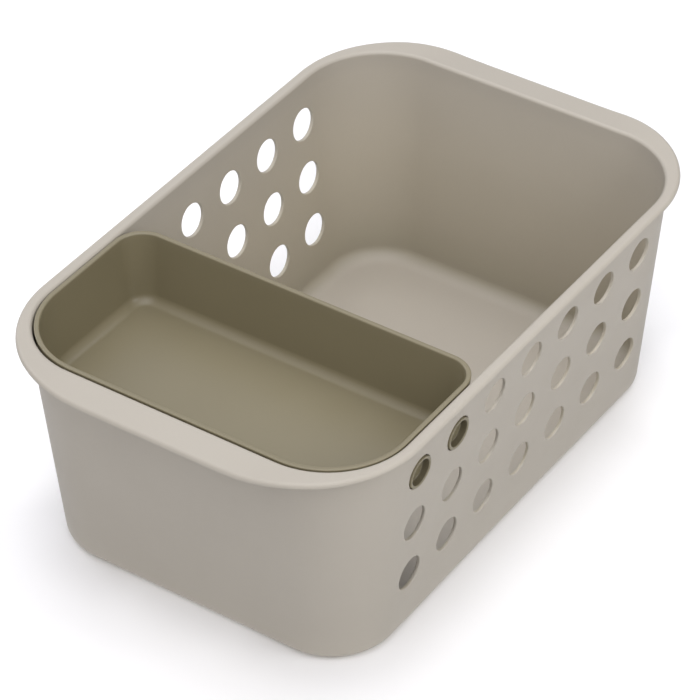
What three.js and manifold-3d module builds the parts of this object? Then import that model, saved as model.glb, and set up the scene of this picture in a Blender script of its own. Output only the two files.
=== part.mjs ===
// Bathroom storage basket with a lift-out tray.
// Millimetres, +Z up. Origin: middle of the underside. +Y is the long way, the tray is at the -Y end.
import * as THREE from 'three';
import { mergeVertices } from 'three/addons/utils/BufferGeometryUtils.js';
import Module from 'manifold-3d';

// ---- basket ---------------------------------------------------------------------------------
const HEIGHT = 120.15;         // underside to the top of the rim
const DRAFT = 0.0897;          // how far a wall leans out per millimetre of height (about 5 degrees)
const WALL = 1.8;              // wall thickness, measured level
const FLOOR = 2.2;             // floor thickness
const TOP_HALF_X = 98.6;       // outside of the long walls, carried up to the top of the rim
const TOP_HALF_Y = 145.7;      // outside of the end walls, carried up to the top of the rim
const TOP_CORNER = 41.5;       // outside corner radius there
const FOOT_FILLET = 6.4;       // rounding between the walls and the underside
const FLOOR_FILLET = 7.0;      // rounding between the walls and the floor inside
const RIM_HALF_X = 102.75;     // rim plate: narrow along the sides ...
const RIM_HALF_Y = 159.9;      // ... and wide at the ends, where a hand takes hold
const RIM_CORNER_FRONT = 58.3;
const RIM_CORNER_REAR = 56.3;
const RIM_T = 2.6;             // rim plate thickness
const RIM_CHAMFER = 0.9;       // broken edges of the plate
const MOUTH_EDGE = 1.3;        // broken edge where the rim turns down into the inside

// ---- holes in the long walls ----------------------------------------------------------------
const PITCH = 31;              // square grid
const COLUMNS = 7;
const ROWS = 3;
const TOP_ROW_Z = 96.4;
const HOLE_R = 8.4;

// ---- tray -----------------------------------------------------------------------------------
const TRAY_TOP = 119.65;       // just under the basket's rim
const TRAY_HALF_X = 96.0;      // outside, at the top
const TRAY_FRONT_Y = -142.6;
const TRAY_REAR_Y = -41.3;
const TRAY_CORNER_FRONT = 39.3;
const TRAY_CORNER_REAR = 15.6;
const TRAY_WALL = 2.5;
const TRAY_FLOOR_Z = 83;       // upper face of the tray floor
const TRAY_FLOOR_T = 2.0;
const TRAY_FILLET = 5.0;       // inside, the outside is the same arc pushed out by the wall
const TRAY_EDGE = 0.5;         // broken edges of the tray's rim

// ---- pegs on the tray's ends ----------------------------------------------------------------
const PEG_R = 8.0;
const PEG_BORE_R = 6.2;        // the pegs are hollow, open to the outside
const PEG_PROUD = 0.7;         // how far they stand out of the basket's wall
const PEG_GAP = 0.1;           // parting gap to the tray's wall

const CORNER_STEPS = 8;
const ARC_STEPS = 4;

const wasm = await Module();
wasm.setup();

// Rounded outline, anticlockwise from above, with its own radius on the front (-Y) and rear corners.
function outline(halfX, y0, y1, rFront, rRear, z) {
  const pts = [];
  const corner = (cx, cy, r, start) => {
    for (let i = 0; i <= CORNER_STEPS; i++) {
      const a = start + (Math.PI / 2) * (i / CORNER_STEPS);
      pts.push(new THREE.Vector3(cx + r * Math.cos(a), cy + r * Math.sin(a), z));
    }
  };
  corner(halfX - rRear, y1 - rRear, rRear, 0);
  corner(-halfX + rRear, y1 - rRear, rRear, Math.PI / 2);
  corner(-halfX + rFront, y0 + rFront, rFront, Math.PI);
  corner(halfX - rFront, y0 + rFront, rFront, 1.5 * Math.PI);
  return pts;
}

// Skin through a run of outlines: up the outside, over the rim, down the inside to the floor.
function shell(rings) {
  const n = rings[0].length;
  const pos = [];
  const idx = [];
  for (const ring of rings) for (const p of ring) pos.push(p.x, p.y, p.z);
  for (let k = 0; k + 1 < rings.length; k++) {
    for (let i = 0; i < n; i++) {
      const j = (i + 1) % n;
      const a = k * n + i, b = k * n + j, c = (k + 1) * n + j, d = (k + 1) * n + i;
      idx.push(a, b, c, a, c, d);
    }
  }
  const centre = (ring) => ring.reduce((s, p) => s.add(p), new THREE.Vector3()).divideScalar(n);
  const first = centre(rings[0]), last = centre(rings[rings.length - 1]);
  const f = pos.length / 3;
  pos.push(first.x, first.y, first.z, last.x, last.y, last.z);
  const top = (rings.length - 1) * n;
  for (let i = 0; i < n; i++) {
    const j = (i + 1) % n;
    idx.push(f, j, i);
    idx.push(f + 1, top + i, top + j);
  }
  const g = new THREE.BufferGeometry();
  g.setAttribute('position', new THREE.Float32BufferAttribute(pos, 3));
  g.setIndex(idx);
  return g;
}

// Offsets and heights along the arc between a level face at z0 and a wall leaning out by slope.
// The wall stands at offset off0 where it would meet z0.
function footArc(off0, z0, r, slope) {
  const s = Math.hypot(1, slope);
  const xc = off0 + slope * r - r * s;
  const end = -Math.atan(slope);
  const out = [];
  for (let i = 0; i <= ARC_STEPS; i++) {
    const a = -Math.PI / 2 + (end + Math.PI / 2) * (i / ARC_STEPS);
    out.push([xc + r * Math.cos(a), z0 + r + r * Math.sin(a)]);
  }
  return out;
}

function toSolid(geometry) {
  const g = geometry.clone();
  g.deleteAttribute('normal');
  g.deleteAttribute('uv');
  const m = mergeVertices(g, 1e-4);
  return new wasm.Manifold(new wasm.Mesh({
    numProp: 3,
    vertProperties: new Float32Array(m.attributes.position.array),
    triVerts: new Uint32Array(m.index.array),
  }));
}

function toGeometry(solid) {
  const m = solid.getMesh();
  const pos = new Float32Array(m.numVert * 3);
  for (let i = 0; i < m.numVert; i++) {
    for (let c = 0; c < 3; c++) pos[3 * i + c] = m.vertProperties[i * m.numProp + c];
  }
  const g = new THREE.BufferGeometry();
  g.setAttribute('position', new THREE.BufferAttribute(pos, 3));
  g.setIndex(Array.from(m.triVerts));
  g.computeVertexNormals();
  return g;
}

// ---- basket moulding ------------------------------------------------------------------------
const footX = TOP_HALF_X - DRAFT * HEIGHT;
const footY = TOP_HALF_Y - DRAFT * HEIGHT;
const footR = TOP_CORNER - DRAFT * HEIGHT;
const wallRing = (off, z) =>
  outline(footX + off, -footY - off, footY + off, footR + off, footR + off, z);
const rimRing = (inset, z) =>
  outline(RIM_HALF_X - inset, -RIM_HALF_Y + inset, RIM_HALF_Y - inset,
    RIM_CORNER_FRONT - inset, RIM_CORNER_REAR - inset, z);

const basketRings = [];
for (const [off, z] of footArc(0, 0, FOOT_FILLET, DRAFT)) basketRings.push(wallRing(off, z));
const underRim = HEIGHT - RIM_T;
basketRings.push(wallRing(DRAFT * underRim, underRim));
basketRings.push(rimRing(RIM_CHAMFER, underRim));
basketRings.push(rimRing(0, underRim + RIM_CHAMFER));
basketRings.push(rimRing(0, HEIGHT - RIM_CHAMFER));
basketRings.push(rimRing(RIM_CHAMFER, HEIGHT));
basketRings.push(wallRing(DRAFT * HEIGHT - WALL + MOUTH_EDGE, HEIGHT));
basketRings.push(wallRing(DRAFT * (HEIGHT - MOUTH_EDGE) - WALL, HEIGHT - MOUTH_EDGE));
for (const [off, z] of footArc(DRAFT * FLOOR - WALL, FLOOR, FLOOR_FILLET, DRAFT).reverse()) {
  basketRings.push(wallRing(off, z));
}

let basketSolid = toSolid(shell(basketRings));
for (const side of [-1, 1]) {
  for (let c = 0; c < COLUMNS; c++) {
    for (let r = 0; r < ROWS; r++) {
      const z = TOP_ROW_Z - r * PITCH;
      const cutter = new THREE.CylinderGeometry(HOLE_R, HOLE_R, 16, 20);
      cutter.rotateZ(Math.PI / 2);
      cutter.translate(side * (footX + DRAFT * z - WALL / 2), (c - (COLUMNS - 1) / 2) * PITCH, z);
      basketSolid = basketSolid.subtract(toSolid(cutter));
    }
  }
}

// ---- tray moulding --------------------------------------------------------------------------
const trayDepth = TRAY_TOP - TRAY_FLOOR_Z;
const trayHeight = trayDepth + TRAY_FLOOR_T;
const trayUnder = TRAY_TOP - trayHeight;
const trayRing = (off, z) =>
  outline(TRAY_HALF_X + off, TRAY_FRONT_Y - off, TRAY_REAR_Y + off,
    TRAY_CORNER_FRONT + off, TRAY_CORNER_REAR + off, z);
const trayOff = (z) => DRAFT * (z - TRAY_TOP);

const trayRings = [];
for (const [off, z] of footArc(trayOff(trayUnder), trayUnder, TRAY_FILLET + TRAY_WALL, DRAFT)) {
  trayRings.push(trayRing(off, z));
}
trayRings.push(trayRing(trayOff(TRAY_TOP - TRAY_EDGE), TRAY_TOP - TRAY_EDGE));
trayRings.push(trayRing(-TRAY_EDGE, TRAY_TOP));
trayRings.push(trayRing(-TRAY_WALL + TRAY_EDGE, TRAY_TOP));
trayRings.push(trayRing(trayOff(TRAY_TOP - TRAY_EDGE) - TRAY_WALL, TRAY_TOP - TRAY_EDGE));
for (const [off, z] of
  footArc(trayOff(TRAY_FLOOR_Z) - TRAY_WALL, TRAY_FLOOR_Z, TRAY_FILLET, DRAFT).reverse()) {
  trayRings.push(trayRing(off, z));
}

// ---- pegs -----------------------------------------------------------------------------------
// A short ring across the gap between tray and basket. Both ends lean with the walls.
function pegGeometry(side) {
  const shape = new THREE.Shape();
  shape.absarc(0, 0, PEG_R, 0, 2 * Math.PI, false);
  const bore = new THREE.Path();
  bore.absarc(0, 0, PEG_BORE_R, 0, 2 * Math.PI, true);
  shape.holes.push(bore);
  const g = new THREE.ExtrudeGeometry(shape, { depth: 1, bevelEnabled: false, curveSegments: 12, steps: 1 });
  const p = g.attributes.position;
  for (let i = 0; i < p.count; i++) {
    const y = p.getX(i), dz = p.getY(i), outer = p.getZ(i) > 0.5;
    const z = TOP_ROW_Z + dz;
    const x = outer ? footX + DRAFT * z + PEG_PROUD : TRAY_HALF_X + trayOff(z) + PEG_GAP;
    p.setXYZ(i, x, y, z);
  }
  if (side < 0) g.rotateZ(Math.PI);
  g.deleteAttribute('normal');
  g.deleteAttribute('uv');
  const m = mergeVertices(g, 1e-4);
  m.computeVertexNormals();
  return m;
}

// ---- assembly -------------------------------------------------------------------------------
const stone = () => new THREE.MeshStandardMaterial({ color: 0xbdb6ab, roughness: 0.55, metalness: 0 });
const olive = () => new THREE.MeshStandardMaterial({ color: 0x8e8670, roughness: 0.45, metalness: 0 });

const add = (parent, name, geometry, material) => {
  const mesh = new THREE.Mesh(geometry, material);
  mesh.name = name;
  parent.add(mesh);
  return mesh;
};

const assembly = new THREE.Group();
const trayGroup = new THREE.Group();
assembly.add(trayGroup);

add(assembly, 'basket', toGeometry(basketSolid), stone());
add(trayGroup, 'tray', shell(trayRings), olive());

for (const [side, sideName] of [[-1, 'left'], [1, 'right']]) {
  for (const [col, colName] of [[0, 'front'], [1, 'rear']]) {
    const y = (col - (COLUMNS - 1) / 2) * PITCH;
    const peg = add(trayGroup, `tray_peg_${sideName}_${colName}`, pegGeometry(side), olive());
    peg.position.y = y;
  }
}

export default assembly;
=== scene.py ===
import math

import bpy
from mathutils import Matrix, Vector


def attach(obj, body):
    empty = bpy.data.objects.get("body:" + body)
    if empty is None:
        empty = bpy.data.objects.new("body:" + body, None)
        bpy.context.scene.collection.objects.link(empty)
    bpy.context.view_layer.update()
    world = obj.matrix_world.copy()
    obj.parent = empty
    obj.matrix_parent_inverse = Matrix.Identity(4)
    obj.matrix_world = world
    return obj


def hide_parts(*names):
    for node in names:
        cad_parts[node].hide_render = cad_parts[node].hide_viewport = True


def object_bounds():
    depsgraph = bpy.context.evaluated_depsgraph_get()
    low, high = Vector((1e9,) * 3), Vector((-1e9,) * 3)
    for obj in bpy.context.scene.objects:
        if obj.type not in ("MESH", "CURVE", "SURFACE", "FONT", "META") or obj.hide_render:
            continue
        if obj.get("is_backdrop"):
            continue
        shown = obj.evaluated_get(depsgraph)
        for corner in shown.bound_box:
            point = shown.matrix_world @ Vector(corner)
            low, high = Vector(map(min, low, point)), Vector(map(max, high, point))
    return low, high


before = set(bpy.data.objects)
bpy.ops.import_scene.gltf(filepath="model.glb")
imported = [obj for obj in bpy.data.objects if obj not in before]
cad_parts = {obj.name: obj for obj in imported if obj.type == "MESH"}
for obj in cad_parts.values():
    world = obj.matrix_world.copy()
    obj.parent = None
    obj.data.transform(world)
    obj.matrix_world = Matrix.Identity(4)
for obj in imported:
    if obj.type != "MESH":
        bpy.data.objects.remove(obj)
cad_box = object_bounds()

# Bathroom storage basket: a drafted open box with a plate rim and round holes in
# its long walls, and a shallow tray that hangs inside it on four hollow pegs.
# Lengths below are millimetres; meshes are written in metres.

MM = 0.001
DRAFT = 0.0897            # outward lean of every wall, per unit of height
SLOPE = math.hypot(1.0, DRAFT)
LEAN = math.atan(DRAFT)

# basket
FOOT_X, FOOT_Y, FOOT_R = 87.84, 134.90, 31.75  # outer wall outline carried down to the ground
HEIGHT = 120.15
WALL = 1.8
FLOOR = 2.2
FOOT_FILLET = 6.4
FLOOR_FILLET = 7.0                                  # up the wall
FLOOR_REACH = 8.6                                  # out over the floor
RIM_X, RIM_Y = 102.75, 159.5
RIM_R_FRONT, RIM_R_REAR = 58.3, 56.3
RIM_T = 2.6
LIP_TOP_R = 1.8
LIP_LOW_R = 0.7
UNDER_R = 1.0
MOUTH_R = 1.8
BOW = 1.22               # how far the long walls are drawn in half-way along, as moulded walls are
RIM_DROOP = 1.75         # fall of the rim's outer edge half-way along each end
RIM_SWELL = 0.7          # and how far it stands out there

# holes in the long walls
PITCH = 31.0
COLUMNS = [-93.0, -62.0, -31.0, 0.0, 31.0, 62.0, 93.0]
ROWS = [34.4, 65.4, 96.4]
HOLE_R = 8.4
HOLE_EDGE = 0.5
STRAIGHT = FOOT_Y - FOOT_R                         # the long walls are flat to here
CELL_Y = [-STRAIGHT, -77.5, -46.5, -15.5, 15.5, 46.5, 77.5, STRAIGHT]
CELL_Z = [18.9, 49.9, 80.9, 111.9]
STEPS = 12                                         # grid steps along each side of a hole's cell

# tray
TRAY_TOP = 119.65
TRAY_X, TRAY_FRONT, TRAY_REAR = 96.3, -142.85, -40.95
TRAY_R_FRONT, TRAY_R_REAR = 40.4, 15.6
TRAY_WALL = 2.5
TRAY_FLOOR_Z = 83.0
TRAY_FLOOR_T = 2.0
TRAY_FILLET = 5.0
TRAY_EDGE_OUT, TRAY_EDGE_IN = 0.5, 0.8

# pegs
PEG_Y = [-93.0, -62.0]
PEG_Z = 96.4
PEG_R = 8.0
PEG_BORE = 6.5
PEG_PROUD = 0.7
PEG_RECESS = 0.6                                   # bottom of the recess, below the tray's wall


# ---------------------------------------------------------------- mesh helpers

class Skin:
    """Points and faces of one closed surface."""

    def __init__(self):
        self.points = []
        self.faces = []

    def point(self, p):
        self.points.append(p)
        return len(self.points) - 1

    def ring(self, points):
        return [self.point(p) for p in points]

    def band(self, a, b):
        n = len(a)
        for i in range(n):
            j = (i + 1) % n
            self.faces.append((a[i], a[j], b[j], b[i]))

    def close(self, ring, centre, first):
        """Fan over a ring: first is True where the surface starts there."""
        c = self.point(centre)
        n = len(ring)
        for i in range(n):
            j = (i + 1) % n
            self.faces.append((c, ring[j], ring[i]) if first else (ring[i], ring[j], c))

    def make(self, name):
        mesh = bpy.data.meshes.new(name)
        mesh.from_pydata([(x * MM, y * MM, z * MM) for x, y, z in self.points], [], self.faces)
        mesh.validate()
        mesh.polygons.foreach_set("use_smooth", [True] * len(mesh.polygons))
        mesh.update()
        obj = bpy.data.objects.new(name, mesh)
        bpy.context.scene.collection.objects.link(obj)
        mod = obj.modifiers.new("even_shading", "WEIGHTED_NORMAL")
        mod.mode = "FACE_AREA"
        mod.weight = 50
        mod.keep_sharp = False
        return obj


def lerp(a, b, t):
    return a + (b - a) * t


def outline(half_x, front, rear, r_front, r_rear):
    return (half_x, front, rear, r_front, r_rear)


def on_outline(o, part, t):
    """A point of a rounded rectangle: eight parts, counter-clockwise from the right side."""
    hx, yf, yr, rf, rr = o
    if part == 0:
        return hx, lerp(yf + rf, yr - rr, t)
    if part == 2:
        return lerp(hx - rr, rr - hx, t), yr
    if part == 4:
        return -hx, lerp(yr - rr, yf + rf, t)
    if part == 6:
        return lerp(rf - hx, hx - rf, t), yf
    a = math.radians(90.0 * ((part - 1) / 2 + t))
    cx, cy, r = {1: (hx - rr, yr - rr, rr), 3: (rr - hx, yr - rr, rr),
                 5: (rf - hx, yf + rf, rf), 7: (hx - rf, yf + rf, rf)}[part]
    return cx + r * math.cos(a), cy + r * math.sin(a)


def stations(right, corner_rear, rear, corner_front, front):
    """The walk round an outline, as (part, t); each argument lists t along one part, and the left half mirrors it."""
    def even(ts):
        return ts if isinstance(ts, list) else [i / ts for i in range(ts + 1)]

    def mirrored(ts):
        return [1.0 - t for t in reversed(even(ts))]

    walk = []
    for part, ts in ((0, even(right)), (1, even(corner_rear)), (2, even(rear)), (3, mirrored(corner_rear)),
                     (4, mirrored(right)), (5, mirrored(corner_front)), (6, even(front)), (7, even(corner_front))):
        walk += [(part, t) for t in ts[:-1]]
    return walk


def arc(cx, cz, r, a0, a1, n):
    """Points (offset, height) of an arc, both ends included; angles in radians."""
    return [(cx + r * math.cos(lerp(a0, a1, i / n)), cz + r * math.sin(lerp(a0, a1, i / n)))
            for i in range(n + 1)]


# ---------------------------------------------------------------- basket

def wall_outline(off):
    return outline(FOOT_X + off, -FOOT_Y - off, FOOT_Y + off, FOOT_R + off, FOOT_R + off)


def rim_outline(inset):
    return outline(RIM_X - inset, -RIM_Y + inset, RIM_Y - inset, RIM_R_FRONT - inset, RIM_R_REAR - inset)


def outer_off(z):
    return DRAFT * z


def inner_off(z):
    return DRAFT * z - WALL


def drawn_in(y, z):
    """How far a long wall lies inside its straight line: nothing at its ends and at the rim."""
    if abs(y) >= STRAIGHT:
        return 0.0
    if z > 58.0:
        depth = max(0.0, 1.0 - ((z - 58.0) / 62.0) ** 2.8)
    else:
        depth = 1.0 - 0.72 * ((58.0 - z) / 58.0) ** 2
    return BOW * depth * math.cos(math.pi / 2 * y / STRAIGHT) ** 1.4


def between_walls(point):
    """A point of a straight moulding, carried along by the drawn-in long walls."""
    x, y, z = point
    return x * (1.0 - drawn_in(y, z) / (FOOT_X + outer_off(z))), y, z


def settled(point):
    """A point of the straight basket, moved to where the drawn-in walls and drooping rim ends carry it."""
    x, y, z = between_walls(point)
    edge = FOOT_Y + outer_off(HEIGHT)
    over = (abs(y) - edge) / (RIM_Y - edge)
    if z > HEIGHT - 6.0 and over > 0.0 and abs(x) < 76.0:
        part = over * math.cos(math.pi / 2 * max(0.0, (abs(x) - 32.0) / 44.0)) ** 2
        y += math.copysign(RIM_SWELL * part, y)
        z -= RIM_DROOP * part
    return x, y, z


class Course:
    """One ring of the basket, whose points are made only when a face needs them."""

    def __init__(self, skin, walk, shape, z):
        self.skin, self.walk, self.shape, self.z = skin, walk, shape, z
        self.made = {}

    def xy(self, i):
        return on_outline(self.shape, *self.walk[i % len(self.walk)])

    def __getitem__(self, i):
        i %= len(self.walk)
        if i not in self.made:
            self.made[i] = self.skin.point((*self.xy(i), self.z))
        return self.made[i]


def build_basket():
    skin = Skin()
    right = [0.0]
    for y0, y1 in zip(CELL_Y, CELL_Y[1:]):
        right += [(lerp(y0, y1, k / STEPS) + STRAIGHT) / (2 * STRAIGHT) for k in range(1, STEPS + 1)]
    walk = stations(right, 28, 24, 28, 24)
    n = len(walk)
    start_left = next(i for i, (part, _) in enumerate(walk) if part == 4)
    side = {0: 0, 4: start_left}

    def wall(off, z):
        return Course(skin, walk, wall_outline(off), z)

    def rim(inset, z):
        return Course(skin, walk, rim_outline(inset), z)

    def shrunk(off, z, scale, round_r, blend):
        """A ring of a floor: the wall outline scaled to the middle, blended into a circle."""
        made = []
        for i, (part, t) in enumerate(walk):
            x, y = on_outline(wall_outline(off), part, t)
            a = math.atan2(y, x)
            made.append((lerp(x * scale, round_r * math.cos(a), blend),
                         lerp(y * scale, round_r * math.sin(a), blend), z))
        return skin.ring(made)

    levels = [lerp(z0, z1, k / STEPS) for z0, z1 in zip(CELL_Z, CELL_Z[1:]) for k in range(STEPS)] + [CELL_Z[-1]]

    # underside: moulding gate in the middle, a shallow panel, then the band it stands on
    foot_c = outer_off(FOOT_FILLET) - FOOT_FILLET * SLOPE
    panel = foot_c - 7.0
    lift = 0.5
    courses = [
        shrunk(panel, lift + 0.9, 0, 1.2, 1.0),
        shrunk(panel, lift + 1.0, 0, 1.6, 1.0),
        shrunk(panel, lift + 1.0, 0, 3.6, 1.0),
        shrunk(panel, lift + 0.85, 0, 4.1, 1.0),
        shrunk(panel, lift + 0.15, 0, 4.5, 1.0),
        shrunk(panel, lift, 0, 5.0, 1.0),
        shrunk(panel, lift, 0.12, 9.0, 0.8),
        shrunk(panel, lift, 0.3, 30.0, 0.35),
        shrunk(panel, lift, 0.6, 60.0, 0.0),
        shrunk(panel, lift, 0.9, 60.0, 0.0),
    ]
    skin.close(courses[0], (0, 0, lift + 0.9), True)
    courses += [wall(panel + d, z) for d, z in arc(-0.5, lift - 0.5, 0.5, math.pi / 2, math.pi / 4, 3)]
    courses += [wall(panel + 0.35 + d, z) for d, z in arc(0.354, 0.5, 0.5, -3 * math.pi / 4, -math.pi / 2, 3)]
    courses += [wall(panel + 2.5, 0.0)]

    # foot, outer wall below the holes
    courses += [wall(off, z) for off, z in arc(foot_c, FOOT_FILLET, FOOT_FILLET, -math.pi / 2, -LEAN, 10)]
    courses += [wall(outer_off(z), z) for z in (9.0, 13.5)]
    outer = [wall(outer_off(z), z) for z in levels]
    courses += outer

    # up to the rim plate, round its lip and over the mouth
    under = HEIGHT - RIM_T
    under_c = outer_off(under - UNDER_R) + UNDER_R * SLOPE
    courses += [wall(outer_off(z), z) for z in (113.4, 114.8)]
    courses += [wall(off, z) for off, z in arc(under_c, under - UNDER_R, UNDER_R, math.pi - LEAN, math.pi / 2, 5)]
    courses += [rim(LIP_LOW_R + 0.5, under)]
    courses += [rim(-off, z) for off, z in arc(-LIP_LOW_R, under + LIP_LOW_R, LIP_LOW_R, -math.pi / 2, 0.0, 5)]
    courses += [rim(-off, z) for off, z in arc(-LIP_TOP_R, HEIGHT - LIP_TOP_R, LIP_TOP_R, 0.0, math.pi / 2, 7)]
    courses += [rim(LIP_TOP_R + 0.6, HEIGHT)]
    mouth_c = inner_off(HEIGHT - MOUTH_R) + MOUTH_R * SLOPE
    courses += [wall(mouth_c + 0.6, HEIGHT)]
    courses += [wall(off, z) for off, z in arc(mouth_c, HEIGHT - MOUTH_R, MOUTH_R, math.pi / 2, math.pi - LEAN, 8)]

    # inside wall, floor
    courses += [wall(inner_off(z), z) for z in (116.6, 114.4)]
    inner = [wall(inner_off(z), z) for z in levels]
    courses += inner[::-1]
    courses += [wall(inner_off(z), z) for z in (14.5, 10.8)]
    meet = math.atan(DRAFT * FLOOR_FILLET / FLOOR_REACH)
    floor_c = inner_off(FLOOR + FLOOR_FILLET * (1 - math.sin(meet))) - FLOOR_REACH * math.cos(meet)
    courses += [wall(floor_c + FLOOR_REACH * math.cos(q), FLOOR + FLOOR_FILLET * (1 - math.sin(q)))
                for q in [lerp(meet, math.pi / 2, k / 16) for k in range(17)]]
    courses += [wall(floor_c - 2.0, FLOOR)]
    courses += [
        shrunk(floor_c - 2.0, FLOOR, 0.85, 60.0, 0.0),
        shrunk(floor_c - 2.0, FLOOR, 0.55, 60.0, 0.0),
        shrunk(floor_c - 2.0, FLOOR, 0.25, 25.0, 0.3),
        shrunk(floor_c - 2.0, FLOOR, 0.1, 6.0, 1.0),
    ]
    skin.close(courses[-1], (0, 0, FLOOR), False)

    # faces between the rings, leaving the long walls' hole cells open
    holed = {(id(a), id(b)) for a, b in zip(outer, outer[1:])} | {(id(b), id(a)) for a, b in zip(inner, inner[1:])}
    for a, b in zip(courses, courses[1:]):
        with_holes = (id(a), id(b)) in holed
        for i in range(n):
            if with_holes and walk[i][0] in (0, 4):
                continue
            j = (i + 1) % n
            skin.faces.append((a[i], a[j], b[j], b[i]))

    # each hole: the cell's square border runs in to a round edge, through the wall and out again
    around = 4 * STEPS
    turn = [math.radians(-135.0 + 360.0 * k / around) for k in range(around)]
    for part in (0, 4):
        way = 1 if part == 0 else -1
        for c in range(len(COLUMNS)):
            i0 = side[part] + c * STEPS
            yc = COLUMNS[c] if part == 0 else COLUMNS[::-1][c]
            for r, zc in enumerate(ROWS):
                j0 = r * STEPS
                border = ([(i0 + k, j0) for k in range(STEPS)]
                          + [(i0 + STEPS, j0 + k) for k in range(STEPS)]
                          + [(i0 + STEPS - k, j0 + STEPS) for k in range(STEPS)]
                          + [(i0, j0 + STEPS - k) for k in range(STEPS)])
                flat = [(outer[j].xy(i)[1], levels[j]) for i, j in border]

                def loop(radius, mix, depth, inside):
                    """One ring of the hole; depth is how far it lies below its face."""
                    made = []
                    for k, a in enumerate(turn):
                        y = lerp(flat[k][0], yc + way * radius * math.cos(a), mix)
                        z = lerp(flat[k][1], zc + radius * math.sin(a), mix)
                        x = FOOT_X + (inner_off(z) + depth if inside else outer_off(z) - depth)
                        made.append((way * x, y, z))
                    return skin.ring(made)

                edge = [(HOLE_R + HOLE_EDGE * (1 - math.sin(q)), HOLE_EDGE * (1 - math.cos(q)))
                        for q in [math.pi / 2 * k / 5 for k in range(6)]]
                wide = HOLE_R + HOLE_EDGE + 0.7
                mixes = (0.35, 0.65, 0.88)
                loops = [[outer[j][i] for i, j in border]]
                loops += [loop(wide, m, 0.0, False) for m in mixes]
                loops += [loop(wide, 1.0, 0.0, False)]
                loops += [loop(rr, 1.0, d, False) for rr, d in edge]
                loops += [loop(rr, 1.0, d, True) for rr, d in reversed(edge)]
                loops += [loop(wide, 1.0, 0.0, True)]
                loops += [loop(wide, m, 0.0, True) for m in reversed(mixes)]
                loops += [[inner[j][i] for i, j in border]]
                for a, b in zip(loops, loops[1:]):
                    skin.band(a, b)
    skin.points = [settled(p) for p in skin.points]
    return skin.make("basket_moulding")


# ---------------------------------------------------------------- tray

def tray_outline(off):
    return outline(TRAY_X + off, TRAY_FRONT - off, TRAY_REAR + off, TRAY_R_FRONT + off, TRAY_R_REAR + off)


def tray_off(z):
    return DRAFT * (z - TRAY_TOP)


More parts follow.
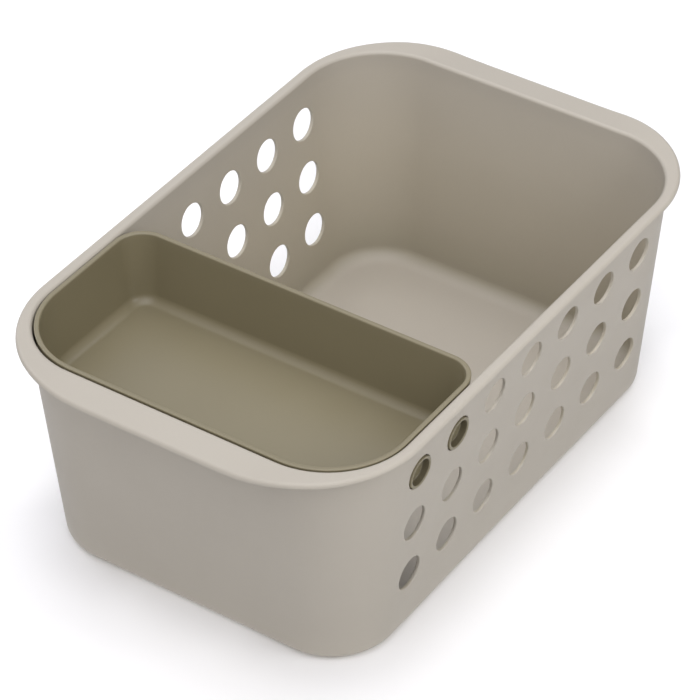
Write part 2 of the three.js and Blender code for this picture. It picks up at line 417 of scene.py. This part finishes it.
def build_tray():
    skin = Skin()
    y_lo, y_hi = TRAY_FRONT + TRAY_R_FRONT, TRAY_REAR - TRAY_R_REAR
    # the pegs stand in square cells of the two end walls; the rear cell runs on into the rear corner
    half = 8.5
    front_peg, rear_peg = PEG_Y
    bend = math.asin((rear_peg + half - y_hi) / TRAY_R_REAR) / (math.pi / 2)
    right = [0.0]
    for y0, y1, steps in ((y_lo, front_peg - half, 1), (front_peg - half, front_peg + half, STEPS),
                          (front_peg + half, rear_peg - half, 4), (rear_peg - half, y_hi, STEPS - 4)):
        right += [(lerp(y0, y1, k / steps) - y_lo) / (y_hi - y_lo) for k in range(1, steps + 1)]
    corner = [bend * k / 4 for k in range(4)] + [lerp(bend, 1.0, k / 14) for k in range(15)]
    walk = stations(right, corner, 44, 28, 36)
    n = len(walk)
    right_cells = [(1, front_peg), (1 + STEPS + 4, rear_peg)]
    start_left = next(i for i, (part, _) in enumerate(walk) if part == 4)
    cells = []
    for i0, yc in right_cells:
        cells += [(i0, yc, 1), (start_left + len(right) - 1 - i0 - STEPS, yc, -1)]

    def side_x(y, z):
        """The tray's outer face on its end walls, round the start of the rear corners."""
        past = max(0.0, y - y_hi)
        return TRAY_X - TRAY_R_REAR + math.sqrt((TRAY_R_REAR + tray_off(z)) ** 2 - past ** 2)

    def wall(off, z):
        return Course(skin, walk, tray_outline(off), z)

    mid = (TRAY_FRONT + TRAY_REAR) / 2

    def shrunk(off, z, scale):
        made = []
        for part, t in walk:
            x, y = on_outline(tray_outline(off), part, t)
            made.append((x * scale, mid + (y - mid) * scale, z))
        return skin.ring(made)

    levels = [lerp(PEG_Z - half, PEG_Z + half, k / STEPS) for k in range(STEPS + 1)]
    low = TRAY_FLOOR_Z - TRAY_FLOOR_T
    out_r = TRAY_FILLET - 0.4
    out_c = tray_off(low + out_r) - out_r * SLOPE
    courses = [shrunk(out_c - 1.0, low, s) for s in (0.05, 0.3, 0.6, 0.9)]
    skin.close(courses[0], (0, mid, low), True)
    courses += [wall(off, z) for off, z in arc(out_c, low + out_r, out_r, -math.pi / 2, -LEAN, 9)]
    grid = [wall(tray_off(z), z) for z in levels]
    courses += grid
    courses += [wall(tray_off(z), z) for z in (110.5, 114.5, 117.2)]
    e = TRAY_EDGE_OUT
    oc = tray_off(TRAY_TOP - e) - e * SLOPE
    courses += [wall(off, z) for off, z in arc(oc, TRAY_TOP - e, e, -LEAN, math.pi / 2, 6)]
    e = TRAY_EDGE_IN
    ic = tray_off(TRAY_TOP - e) - TRAY_WALL + e * SLOPE
    courses += [wall(off, z) for off, z in arc(ic, TRAY_TOP - e, e, math.pi / 2, math.pi - LEAN, 6)]
    courses += [wall(tray_off(z) - TRAY_WALL, z) for z in (116.8, 112.0, 104.0, 96.0, 91.0, 89.0)]
    fl_c = tray_off(TRAY_FLOOR_Z + TRAY_FILLET) - TRAY_WALL - TRAY_FILLET * SLOPE
    courses += [wall(off, z) for off, z in
                arc(fl_c, TRAY_FLOOR_Z + TRAY_FILLET, TRAY_FILLET, -LEAN, -math.pi / 2, 10)]
    courses += [wall(fl_c - 1.2, TRAY_FLOOR_Z)]
    courses += [shrunk(fl_c - 1.2, TRAY_FLOOR_Z, s) for s in (0.85, 0.5, 0.2, 0.05)]
    skin.close(courses[-1], (0, mid, TRAY_FLOOR_Z), False)

    open_cells = {i for i0, _, _ in cells for i in range(i0, i0 + STEPS)}
    holed = {(id(a), id(b)) for a, b in zip(grid, grid[1:])}
    for a, b in zip(courses, courses[1:]):
        with_holes = (id(a), id(b)) in holed
        for i in range(n):
            if with_holes and i in open_cells:
                continue
            j = (i + 1) % n
            skin.faces.append((a[i], a[j], b[j], b[i]))

    # a blind pocket behind each peg's bore
    around = 4 * STEPS
    turn = [math.radians(-135.0 + 360.0 * k / around) for k in range(around)]
    for s0, yc, way in cells:
        border = ([(s0 + k, 0) for k in range(STEPS)]
                  + [(s0 + STEPS, k) for k in range(STEPS)]
                  + [(s0 + STEPS - k, STEPS) for k in range(STEPS)]
                  + [(s0, STEPS - k) for k in range(STEPS)])
        flat = [(grid[j].xy(i)[1], levels[j]) for i, j in border]

        def loop(radius, mix, depth=None):
            """One ring of the pocket: on the wall's face, or depth below the flat of the wall."""
            made = []
            for k, a in enumerate(turn):
                y = lerp(flat[k][0], yc + way * radius * math.cos(a), mix)
                z = lerp(flat[k][1], PEG_Z + radius * math.sin(a), mix)
                x = side_x(y, z) if depth is None else TRAY_X + tray_off(z) - depth
                made.append((way * x, y, z))
            return skin.ring(made)

        loops = [[grid[j][i] for i, j in border], loop(8.25, 0.5), loop(8.25, 1.0),
                 loop(7.3, 1.0), loop(7.3, 1.0, 2.1), loop(4.0, 1.0, 2.1), loop(1.0, 1.0, 2.1)]
        for a, b in zip(loops, loops[1:]):
            skin.band(a, b)
        skin.close(loops[-1], (way * (TRAY_X + tray_off(PEG_Z) - 2.1), yc, PEG_Z), False)
    skin.points = [between_walls(p) for p in skin.points]
    return skin.make("tray_moulding")


# ---------------------------------------------------------------- pegs

def build_peg(name, way, yc):
    """A short hollow stud, its two ends sheared to the lean of the walls."""
    skin = Skin()
    foot = TRAY_X + tray_off(PEG_Z) - drawn_in(yc, PEG_Z)
    end = FOOT_X + outer_off(PEG_Z) - drawn_in(yc, PEG_Z) + PEG_PROUD - foot
    ro, ri = 0.35, 0.65
    profile = [(2.0, -2.0), (6.2, -2.0), (7.0, -2.0), (7.0, -1.0), (PEG_R, -1.0), (PEG_R, 0.3)]
    profile += [(PEG_R - ro + ro * math.cos(q), end - ro + ro * math.sin(q)) for q in [math.pi / 2 * k / 5 for k in range(5)]]
    profile += [(PEG_BORE + ri - ri * math.sin(q), end - ri + ri * math.cos(q)) for q in [math.pi / 2 * k / 7 for k in range(8)]]
    profile += [(PEG_BORE - 0.03, end - 1.4), (PEG_BORE - 0.12, 0.6)]
    rb = 0.6
    profile += [(PEG_BORE - 0.16 - rb + rb * math.cos(q), -PEG_RECESS + rb - rb * math.sin(q))
                for q in [math.pi / 2 * k / 4 for k in range(5)]]
    profile += [(4.0, -PEG_RECESS), (1.2, -PEG_RECESS)]
    around = 72

    def place(r, a, k):
        q = 2 * math.pi * k / around
        z = PEG_Z + r * math.sin(q)
        return (way * (foot + a + DRAFT * (z - PEG_Z)), yc + way * r * math.cos(q), z)

    rings = [skin.ring([place(r, a, k) for k in range(around)]) for r, a in profile]
    for a, b in zip(rings, rings[1:]):
        skin.band(a, b)
    skin.close(rings[0], (way * (foot - 2.0), yc, PEG_Z), True)
    skin.close(rings[-1], (way * (foot - PEG_RECESS), yc, PEG_Z), False)
    obj = skin.make(name)
    # the bore's side takes a darker, rougher copy of the olive: painted shade in the recess, which takes less light
    for face in obj.data.polygons:
        reach = math.hypot(face.center.y / MM - yc, face.center.z / MM - PEG_Z)
        if reach < PEG_BORE + 0.05 and abs(face.normal.x) < 0.6:
            face.material_index = 1
    return obj


# ---------------------------------------------------------------- materials

def plastic(name, dark, light, rough, grain, painted_shade=(), level=1.0):
    """Moulded polypropylene: faint flow mottle in the colour, an uneven satin gloss and spark-eroded grain, and where
    asked, painted shade: a darker, warmer tone set by height.
    """
    mat = bpy.data.materials.new(name)
    mat.use_nodes = True
    nodes, links = mat.node_tree.nodes, mat.node_tree.links
    nodes.clear()
    out = nodes.new("ShaderNodeOutputMaterial")
    bsdf = nodes.new("ShaderNodeBsdfPrincipled")
    bsdf.inputs["IOR"].default_value = 1.49
    coord = nodes.new("ShaderNodeTexCoord")

    def noise(scale, detail, roughness):
        node = nodes.new("ShaderNodeTexNoise")
        node.inputs["Scale"].default_value = scale
        node.inputs["Detail"].default_value = detail
        node.inputs["Roughness"].default_value = roughness
        links.new(coord.outputs["Object"], node.inputs["Vector"])
        return node

    mottle = noise(14.0, 3.0, 0.55)
    speck = noise(900.0, 2.0, 0.6)
    blend = nodes.new("ShaderNodeMath")
    blend.operation = "MULTIPLY_ADD"
    blend.inputs[1].default_value = 0.35
    links.new(speck.outputs["Fac"], blend.inputs[0])
    links.new(mottle.outputs["Fac"], blend.inputs[2])
    ramp = nodes.new("ShaderNodeValToRGB")
    ramp.color_ramp.elements[0].position = 0.42
    ramp.color_ramp.elements[0].color = (*dark, 1)
    ramp.color_ramp.elements[1].position = 0.95
    ramp.color_ramp.elements[1].color = (*light, 1)
    links.new(blend.outputs[0], ramp.inputs["Fac"])
    colour = ramp.outputs["Color"]
    if painted_shade:
        # painted shade: a darker, warmer tone lower down, of which level faces lose the share given
        split = nodes.new("ShaderNodeSeparateXYZ")
        links.new(coord.outputs["Object"], split.inputs[0])
        height = nodes.new("ShaderNodeMapRange")
        height.inputs["From Max"].default_value = 0.120
        links.new(split.outputs["Z"], height.inputs["Value"])
        tone = nodes.new("ShaderNodeValToRGB")
        stops = tone.color_ramp.elements
        while len(stops) < len(painted_shade):
            stops.new(0.5)
        for stop, (z, tint) in zip(stops, painted_shade):
            stop.position = z / 0.120
            stop.color = (*tint, 1)
        links.new(height.outputs["Result"], tone.inputs["Fac"])
        facing = nodes.new("ShaderNodeNewGeometry")
        lean = nodes.new("ShaderNodeSeparateXYZ")
        links.new(facing.outputs["Normal"], lean.inputs[0])
        upright = nodes.new("ShaderNodeMath")
        upright.operation = "MULTIPLY_ADD"
        upright.inputs[2].default_value = 1.0
        flip = nodes.new("ShaderNodeMath")
        flip.operation = "ABSOLUTE"
        links.new(lean.outputs["Z"], flip.inputs[0])
        links.new(flip.outputs[0], upright.inputs[0])
        upright.inputs[1].default_value = -level
        upright.use_clamp = True
        mix = nodes.new("ShaderNodeMix")
        mix.data_type = "RGBA"
        mix.blend_type = "MULTIPLY"
        links.new(upright.outputs[0], mix.inputs["Factor"])
        links.new(colour, mix.inputs[6])
        links.new(tone.outputs["Color"], mix.inputs[7])
        colour = mix.outputs[2]
    links.new(colour, bsdf.inputs["Base Color"])

    gloss = noise(45.0, 4.0, 0.6)
    span = nodes.new("ShaderNodeMapRange")
    span.inputs["From Min"].default_value = 0.3
    span.inputs["From Max"].default_value = 0.7
    span.inputs["To Min"].default_value = rough[0]
    span.inputs["To Max"].default_value = rough[1]
    links.new(gloss.outputs["Fac"], span.inputs["Value"])
    links.new(span.outputs["Result"], bsdf.inputs["Roughness"])

    fine = noise(2200.0, 2.0, 0.55)
    bump = nodes.new("ShaderNodeBump")
    bump.inputs["Strength"].default_value = grain
    bump.inputs["Distance"].default_value = 0.00005
    links.new(fine.outputs["Fac"], bump.inputs["Height"])
    links.new(bump.outputs["Normal"], bsdf.inputs["Normal"])
    links.new(bsdf.outputs["BSDF"], out.inputs["Surface"])
    return mat


stone = plastic("stone_polypropylene", (0.432, 0.393, 0.329), (0.449, 0.411, 0.345), (0.44, 0.54), 0.35)
# a lighter copy of the stone for the inside faces: painted light on floor and walls, painted shade warmest and
# deepest round the floor's fillet, back to the outer tone at the mouth
stone_painted_inside = plastic("stone_polypropylene_painted_light_and_shade", (0.458, 0.417, 0.349), (0.476, 0.436, 0.366), (0.44, 0.54), 0.35,
                       [(0.0022, (0.995, 0.995, 1.000)), (0.0028, (0.960, 0.958, 0.950)), (0.0042, (0.870, 0.865, 0.825)),
                        (0.0070, (0.800, 0.790, 0.722)), (0.0105, (0.805, 0.795, 0.720)), (0.016, (0.848, 0.838, 0.760)), (0.030, (0.920, 0.905, 0.838)), (0.055, (0.978, 0.962, 0.900)),
                        (0.080, (1.000, 0.988, 0.945)), (0.110, (0.985, 0.982, 0.968)), (0.1165, (0.943, 0.943, 0.943))], 0.0)
# a darker copy of the olive for the pegs' bores: painted shade
recess = plastic("olive_polypropylene_bore_shade", (0.112, 0.095, 0.056), (0.120, 0.102, 0.061), (0.42, 0.52), 0.3)
# the tray's upright faces carry painted shade, a darker, warmer tone; its level faces are spared
olive = plastic("olive_polypropylene", (0.214, 0.185, 0.114), (0.227, 0.197, 0.122), (0.30, 0.40), 0.3,
                [(0.086, (0.935, 0.930, 0.890)), (0.116, (0.945, 0.940, 0.905)), (0.119, (1.0, 1.0, 1.0))])

basket = build_basket()
basket.data.materials.append(stone)
basket.data.materials.append(stone_painted_inside)
# the inside faces and the floor take the copy with painted light and shade
for face in basket.data.polygons:
    inward = face.normal.x * face.center.x + face.normal.y * face.center.y < 0
    if 0.002 < face.center.z < 0.117 and (inward or face.normal.z > 0.9):
        face.material_index = 1
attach(basket, "basket")
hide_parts("basket")

tray = build_tray()
tray.data.materials.append(olive)
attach(tray, "tray")
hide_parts("tray")

for end_name, way in (("left", -1), ("right", 1)):
    for place_name, peg_y in zip(("front", "rear"), PEG_Y):
        node = f"tray_peg_{end_name}_{place_name}"
        peg = build_peg(f"stud_{end_name}_{place_name}", way, peg_y)
        peg.data.materials.append(olive)
        peg.data.materials.append(recess)
        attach(peg, "tray")
        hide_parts(node)


# ---------------------------------------------------------------- floor, light, camera

def ground(name, z, albedo, glow, pools):
    """A wide sheet of matt paper whose surface glows in painted pools of light, or of painted shadow where the
    strength is negative: (middle, half size, where it fades, strength).
    """
    far = 30.0
    mesh = bpy.data.meshes.new(name)
    mesh.from_pydata([(-far, -far, z), (far, -far, z), (far, far, z), (-far, far, z)], [], [(0, 1, 2, 3)])
    mesh.update()
    obj = bpy.data.objects.new(name, mesh)
    bpy.context.scene.collection.objects.link(obj)
    paper = bpy.data.materials.new(name + "_paper")
    paper.use_nodes = True
    bsdf = paper.node_tree.nodes["Principled BSDF"]
    bsdf.inputs["Base Color"].default_value = (*albedo, 1)
    bsdf.inputs["Roughness"].default_value = 0.9
    bsdf.inputs["Specular IOR Level"].default_value = 0.0
    bsdf.inputs["Emission Color"].default_value = (1, 1, 1, 1)
    nodes, links = paper.node_tree.nodes, paper.node_tree.links
    place = nodes.new("ShaderNodeNewGeometry")

    def vector(operation, source, value=None):
        node = nodes.new("ShaderNodeVectorMath")
        node.operation = operation
        links.new(source, node.inputs[0])
        if value is not None:
            node.inputs[1].default_value = value
        return node.outputs["Value" if operation == "LENGTH" else "Vector"]

    total = None
    for cx, cy, hx, hy, near, edge, strength in pools:
        away = vector("ABSOLUTE", vector("SUBTRACT", place.outputs["Position"], (cx, cy, z)))
        away = vector("MAXIMUM", vector("SUBTRACT", away, (hx, hy, 1.0)), (0, 0, 0))
        fade = nodes.new("ShaderNodeMapRange")
        fade.interpolation_type = "SMOOTHSTEP"
        fade.inputs["From Min"].default_value = near
        fade.inputs["From Max"].default_value = edge
        fade.inputs["To Min"].default_value = strength
        fade.inputs["To Max"].default_value = 0.0
        links.new(vector("LENGTH", away), fade.inputs["Value"])
        add = nodes.new("ShaderNodeMath")
        add.operation = "ADD"
        if total is None:
            add.inputs[0].default_value = glow
        else:
            links.new(total, add.inputs[0])
        links.new(fade.outputs["Result"], add.inputs[1])
        total = add.outputs[0]
    links.new(total, bsdf.inputs["Emission Strength"])
    mesh.materials.append(paper)
    obj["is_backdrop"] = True
    return obj


# the white sheet that is seen, with painted shadow round the foot and painted pools of light in front, to the left
# and behind on the right; and a greyer one below it that throws light back up and glows in a ring round the foot,
# lighting its underside
foot = (0, 0, 0.056, 0.103)
sheet = ground("floor", -0.0001, (0.866, 0.858, 0.846), 0.07, [
    (*foot, 0.034, 0.062, -0.065), (0, -0.137, 0.020, 0.001, 0.004, 0.030, 0.055), (-0.190, 0.020, 0.065, 0.110, 0.012, 0.045, 0.090),
    (0.105, 0.125, 0.004, 0.012, 0.006, 0.035, 0.070)])
sheet.visible_diffuse = sheet.visible_glossy = sheet.visible_transmission = sheet.visible_shadow = False
bounce = ground("floor_bounce", -0.0002, (0.64, 0.64, 0.64), 0.0, [(*foot, 0.033, 0.050, 0.30)])
bounce.visible_camera = False

# a white cove far round the floor, seen only by the camera, so that low views have no horizon
cove_mesh = bpy.data.meshes.new("cove")
turns = [math.radians(360.0 * k / 96) for k in range(96)]
cove_mesh.from_pydata([(6.0 * math.cos(a), 6.0 * math.sin(a), z) for z in (-0.01, 8.0) for a in turns], [],
                      [((k + 1) % 96, k, 96 + k, 96 + (k + 1) % 96) for k in range(96)])
cove_mesh.update()
cove = bpy.data.objects.new("cove", cove_mesh)
bpy.context.scene.collection.objects.link(cove)
cove_paper = bpy.data.materials.new("cove_paper")
cove_paper.use_nodes = True
cove_bsdf = cove_paper.node_tree.nodes["Principled BSDF"]
cove_bsdf.inputs["Base Color"].default_value = (0, 0, 0, 1)
cove_bsdf.inputs["Specular IOR Level"].default_value = 0.0
cove_bsdf.inputs["Emission Color"].default_value = (1, 1, 1, 1)
cove_bsdf.inputs["Emission Strength"].default_value = 1.05
cove_mesh.materials.append(cove_paper)
cove.visible_diffuse = cove.visible_glossy = cove.visible_transmission = cove.visible_shadow = False
cove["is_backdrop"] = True


def dome(lights):
    """A sky of soft lights: (azimuth, elevation, tightness, colour); azimuth 0 stands at -Y, 90 at +X."""
    world = bpy.data.worlds.new("studio")
    bpy.context.scene.world = world
    world.use_nodes = True
    nodes, links = world.node_tree.nodes, world.node_tree.links
    sky = nodes["Background"]
    coord = nodes.new("ShaderNodeTexCoord")
    total = None
    for azimuth, elevation, tight, colour in lights:
        a, e = math.radians(azimuth), math.radians(elevation)
        toward = nodes.new("ShaderNodeVectorMath")
        toward.operation = "DOT_PRODUCT"
        toward.inputs[1].default_value = (math.sin(a) * math.cos(e), -math.cos(a) * math.cos(e), math.sin(e))
        links.new(coord.outputs["Generated"], toward.inputs[0])
        front = nodes.new("ShaderNodeMath")
        front.operation = "MAXIMUM"
        front.inputs[1].default_value = 0.0
        links.new(toward.outputs["Value"], front.inputs[0])
        fall = nodes.new("ShaderNodeMath")
        fall.operation = "POWER"
        fall.inputs[1].default_value = tight
        links.new(front.outputs[0], fall.inputs[0])
        tint = nodes.new("ShaderNodeVectorMath")
        tint.operation = "SCALE"
        tint.inputs[0].default_value = colour
        links.new(fall.outputs[0], tint.inputs["Scale"])
        if total is None:
            total = tint
        else:
            add = nodes.new("ShaderNodeVectorMath")
            add.operation = "ADD"
            links.new(total.outputs["Vector"], add.inputs[0])
            links.new(tint.outputs["Vector"], add.inputs[1])
            total = add
    links.new(total.outputs["Vector"], sky.inputs["Color"])
    sky.inputs["Strength"].default_value = 1.0


dome([
    (0.0, 90.0, 0.0, (0.150, 0.150, 0.155)),           # even fill
    (0.0, 90.0, 8.0, (1.602, 1.607, 1.683)),           # overhead bank
    (0.0, 90.0, 40.0, (1.198, 1.199, 1.250)),          # its brighter middle
    (45.0, 45.0, 8.0, (1.489, 1.482, 1.539)),          # front right
    (0.0, 45.0, 8.0, (0.770, 0.760, 0.788)),           # front
    (0.0, 12.0, 16.0, (0.706, 0.701, 0.728)),          # low front
    (45.0, 65.0, 24.0, (0.443, 0.444, 0.463)),         # high front right
    (180.0, 65.0, 24.0, (0.962, 0.964, 1.009)),        # high behind
    (225.0, 45.0, 8.0, (0.560, 0.590, 0.680)),         # behind, to the left
    (214.8, 62.0, 30.0, (0.741, 0.743, 0.777)),        # high behind, to the left
])


def softbox(name, where, size, watts, colour):
    """A round soft light near the object, turned to its middle."""
    data = bpy.data.lights.new(name, "AREA")
    data.shape = "DISK"
    data.size = size
    data.energy = watts
    data.color = colour
    obj = bpy.data.objects.new(name, data)
    obj.location = where
    obj.rotation_euler = (Vector((0, 0, 0.06)) - Vector(where)).to_track_quat("-Z", "Y").to_euler()
    obj.visible_camera = False
    bpy.context.scene.collection.objects.link(obj)


softbox("softbox_left", (-1.0, 0, 0.7), 0.6, 2.75, (0.970, 0.980, 1.050))
softbox("softbox_right", (0.55, 0, 0.4), 0.3, 1.00, (1.000, 1.000, 1.010))

# camera at the photograph's viewing angle, solved from the hole grid and the rim
CAM_AZ, CAM_EL, CAM_ROLL = math.radians(34.7522), math.radians(38.8659), math.radians(-0.8336)
CAM_SHIFT = (0.0983, 0.9380, 53.6717)              # in hole pitches, seen from the camera
FOCAL_PX = 3597.841
back = Vector((math.sin(CAM_AZ) * math.cos(CAM_EL), -math.cos(CAM_AZ) * math.cos(CAM_EL), math.sin(CAM_EL)))
across = Vector((math.cos(CAM_AZ), math.sin(CAM_AZ), 0))
up = back.cross(across)
c, s = math.cos(CAM_ROLL), math.sin(CAM_ROLL)
right_axis = c * across + s * up
up_axis = -s * across + c * up
place = (right_axis * -CAM_SHIFT[0] + up_axis * -CAM_SHIFT[1] + back * CAM_SHIFT[2]) * PITCH * MM
place += Vector((0, 0, 96.4 * MM))
cam_data = bpy.data.cameras.new("camera")
cam_data.sensor_width = 36.0
cam_data.lens = FOCAL_PX / 700.0 * 36.0
cam_data.clip_start, cam_data.clip_end = 0.05, 100.0
camera = bpy.data.objects.new("camera", cam_data)
camera.matrix_world = Matrix((
    (right_axis.x, up_axis.x, back.x, place.x),
    (right_axis.y, up_axis.y, back.y, place.y),
    (right_axis.z, up_axis.z, back.z, place.z),
    (0, 0, 0, 1)))
bpy.context.scene.collection.objects.link(camera)
bpy.context.scene.camera = camera

view = bpy.context.scene.view_settings
view.view_transform = "Standard"
view.look = "None"
view.exposure = 0.0
view.gamma = 1.0

bpy.context.view_layer.update()
lo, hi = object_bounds()
{"cad": [list(cad_box[0]), list(cad_box[1])], "visual": [list(lo), list(hi)]}
